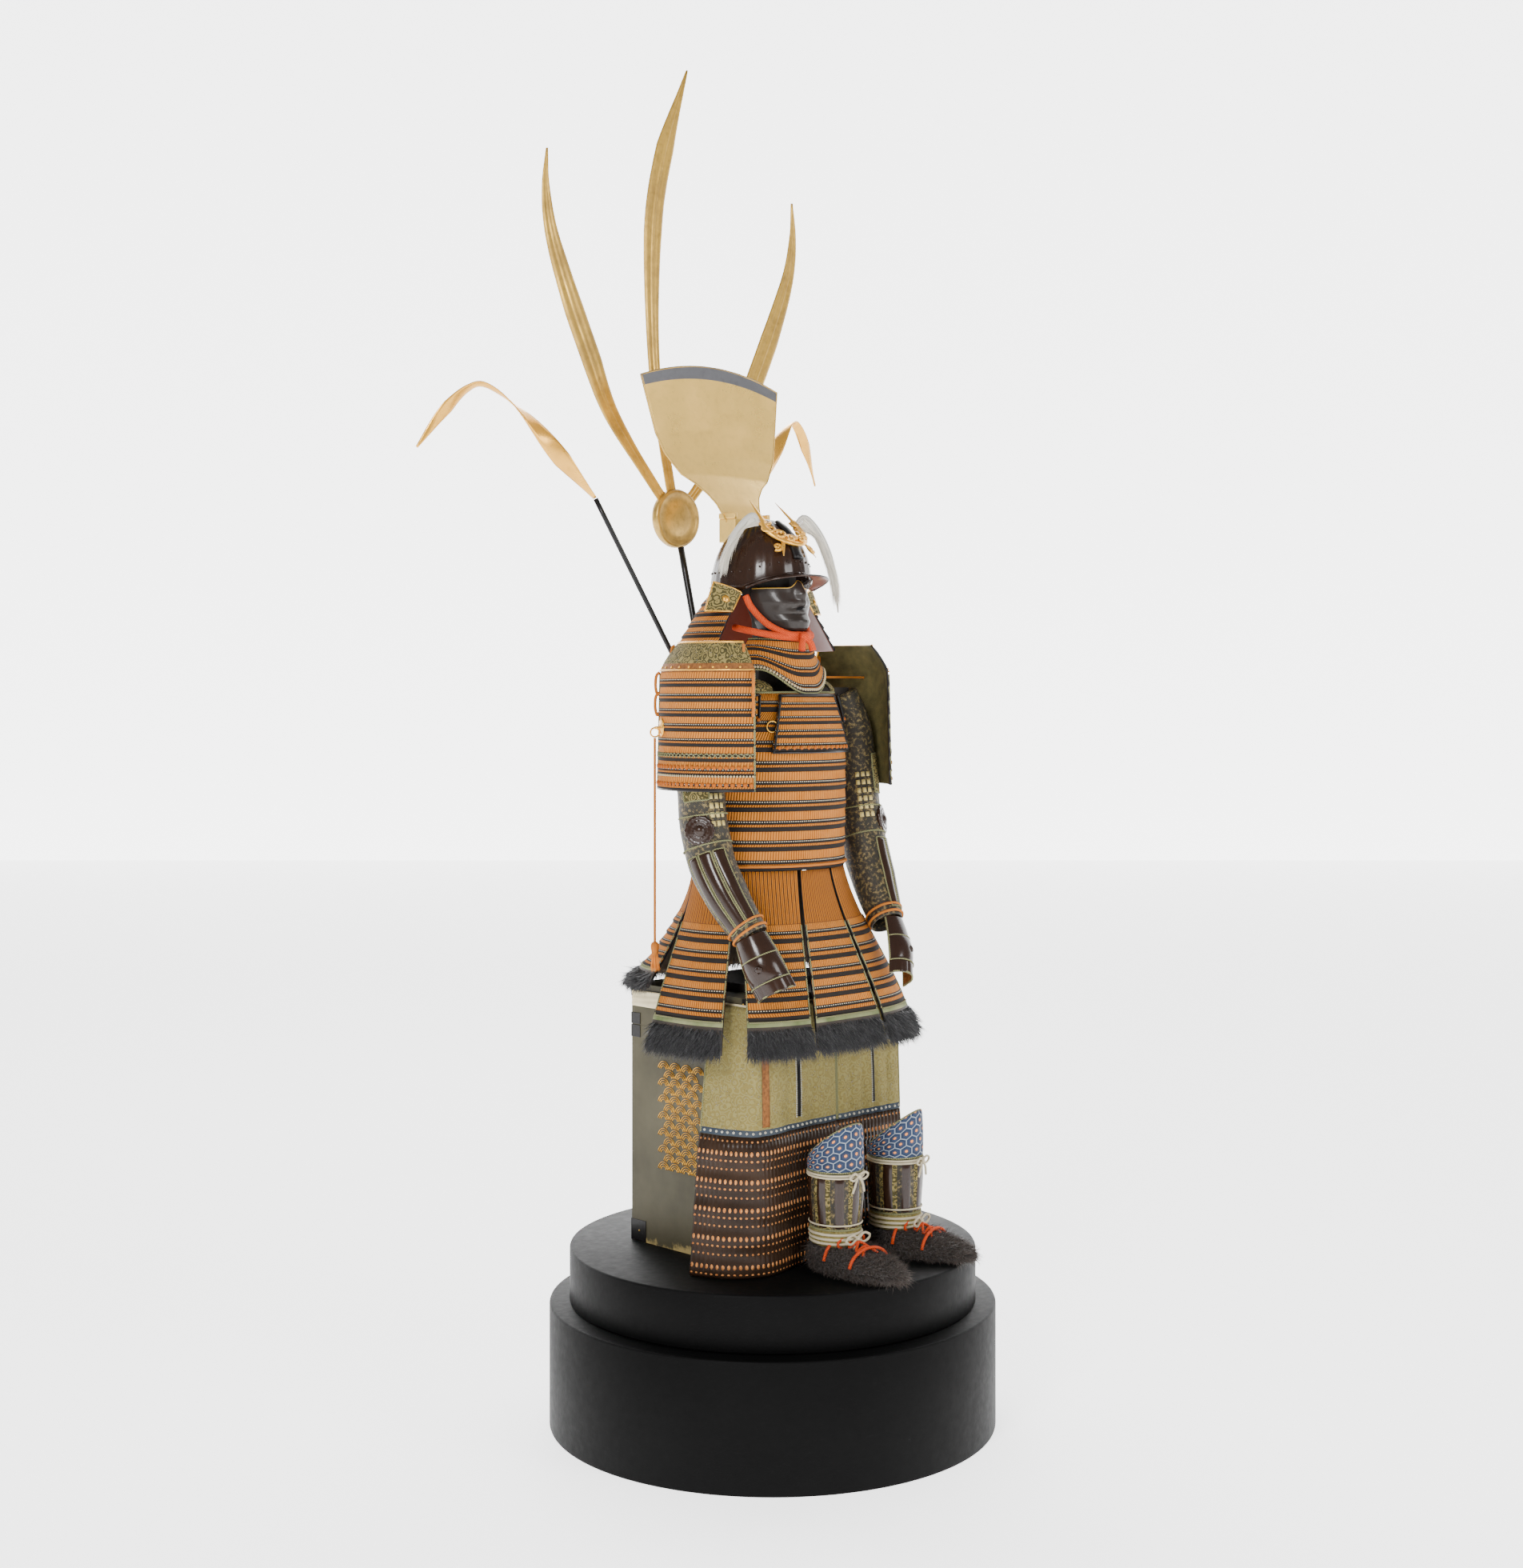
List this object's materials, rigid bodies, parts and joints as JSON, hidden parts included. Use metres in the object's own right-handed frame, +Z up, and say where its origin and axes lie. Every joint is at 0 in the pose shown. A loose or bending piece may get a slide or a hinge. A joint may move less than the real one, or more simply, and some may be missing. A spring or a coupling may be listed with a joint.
{
  "type": "samurai armour displayed on its chest, a hidden stand and a round plinth",
  "caption": "Samurai armour in orange lacing with helmet, mask, gilt crests, sleeves, skirts, shin guards and fur shoes, seated on its lacquered chest on a stepped round black plinth",
  "frame": {"origin": "centre of the plinth's underside", "axes": "+X to the armour's left, -Y its front, +Z up"},
  "size_m": [1.1594, 0.914, 2.8363],
  "materials": {
    "plinth": "satin",
    "chest_lacquer": "aged lacquer",
    "stand_wood": "matte black stain",
    "cream_cotton": "matte",
    "gold_brocade": "woven",
    "lacquer_plates": "gloss lacquer",
    "black_fur": "fur",
    "hexagon_cloth": "quilted",
    "orange_lacing": "braided silk",
    "red_cord": "woven cord",
    "mail_cloth": "mail on brocade",
    "mask_lacquer": "aged brown lacquer",
    "gilt": "aged gilt",
    "horsehair": "hair"
  },
  "bodies": {
    "root": {"ankle_cloth_left": "gold_brocade", "ankle_cloth_right": "gold_brocade", "back_bracket": "lacquer_plates", "back_disc": "gilt", "bib_centre": "orange_lacing", "bib_left": "orange_lacing", "bib_right": "orange_lacing", "blade_centre": "gilt", "blade_left": "gilt", "blade_right": "gilt", "brow_crest": "gilt", "chest_body": "chest_lacquer", "chest_lid": "chest_lacquer", "chin_cord": "red_cord", "crest_plate": "gilt", "cuirass_back": "orange_lacing", "cuirass_front": "orange_lacing", "face_mask": "mask_lacquer", "guard_tie_left": "red_cord", "guard_tie_right": "red_cord", "hand_plate_left": "lacquer_plates", "hand_plate_right": "lacquer_plates", "helmet_bowl": "lacquer_plates", "knee_guard_left": "hexagon_cloth", "knee_guard_right": "hexagon_cloth", "neck_cover": "orange_lacing", "neck_guard": "orange_lacing", "plinth_lower": "plinth", "plinth_upper": "plinth", "plume_left": "horsehair", "plume_right": "horsehair", "ribbon_left": "gilt", "ribbon_right": "gilt", "shin_guard_left": "lacquer_plates", "shin_guard_right": "lacquer_plates", "shoe_left": "black_fur", "shoe_right": "black_fur", "shoulder_guard_left": "orange_lacing", "shoulder_guard_right": "orange_lacing", "shoulder_strap_left": "lacquer_plates", "shoulder_strap_right": "lacquer_plates", "side_pole_left": "lacquer_plates", "side_pole_right": "lacquer_plates", "skirt_back_left": "orange_lacing", "skirt_back_right": "orange_lacing", "skirt_front": "orange_lacing", "skirt_front_left": "orange_lacing", "skirt_front_right": "orange_lacing", "skirt_side_left": "orange_lacing", "skirt_side_right": "orange_lacing", "sleeve_left": "mail_cloth", "sleeve_right": "mail_cloth", "stand": "stand_wood", "tassel": "red_cord", "tassel_cord": "red_cord", "thigh_guard_belt": "cream_cotton", "thigh_guard_cloth_left": "gold_brocade", "thigh_guard_cloth_right": "gold_brocade", "thigh_guard_plates_left": "lacquer_plates", "thigh_guard_plates_right": "lacquer_plates"}
  },
  "joints": []
}
